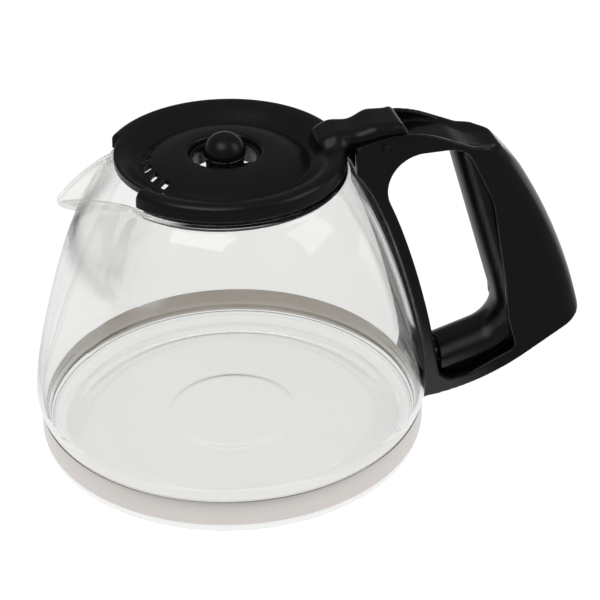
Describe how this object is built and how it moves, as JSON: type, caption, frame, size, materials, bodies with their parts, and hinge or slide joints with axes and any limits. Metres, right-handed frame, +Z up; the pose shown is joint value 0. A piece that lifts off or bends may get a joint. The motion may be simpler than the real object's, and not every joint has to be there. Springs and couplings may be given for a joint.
{
  "type": "coffee server carafe",
  "caption": "Low glass coffee carafe with a pouring spout, a steel base band, a black D-shaped handle with an open loop and a hinged drip-through lid.",
  "frame": {"origin": "on the jug's axis, on the flat underside that the carafe stands on", "axes": "+Z up along the jug's axis, +X towards the handle, the spout towards -X"},
  "size_m": [0.212, 0.1482, 0.1218],
  "materials": {
    "clear_glass": "clear blown glass, polished",
    "band_steel": "fine brushed along the band",
    "fastener_steel": "plain zinc plated",
    "black_plastic": "moulded, satin flats and glossy curves",
    "pin_plastic": "moulded black"
  },
  "bodies": {
    "jug": {"glass_jug": "clear_glass", "steel_band": "band_steel", "band_bracket": "band_steel", "clamp_nut": "fastener_steel", "clamp_screw": "fastener_steel", "screw_washer": "fastener_steel", "handle_shell": "black_plastic", "handle_liner": "black_plastic", "hinge_pin": "pin_plastic"},
    "lid": {"lid": "black_plastic", "brew_knob": "black_plastic"}
  },
  "joints": [
    {"name": "lid_hinge", "type": "hinge", "parent": "jug", "child": "lid", "pos_m": [0.0569, 0, 0.1136], "axis": [0, 1, 0], "range_deg": [0, 75]}
  ]
}
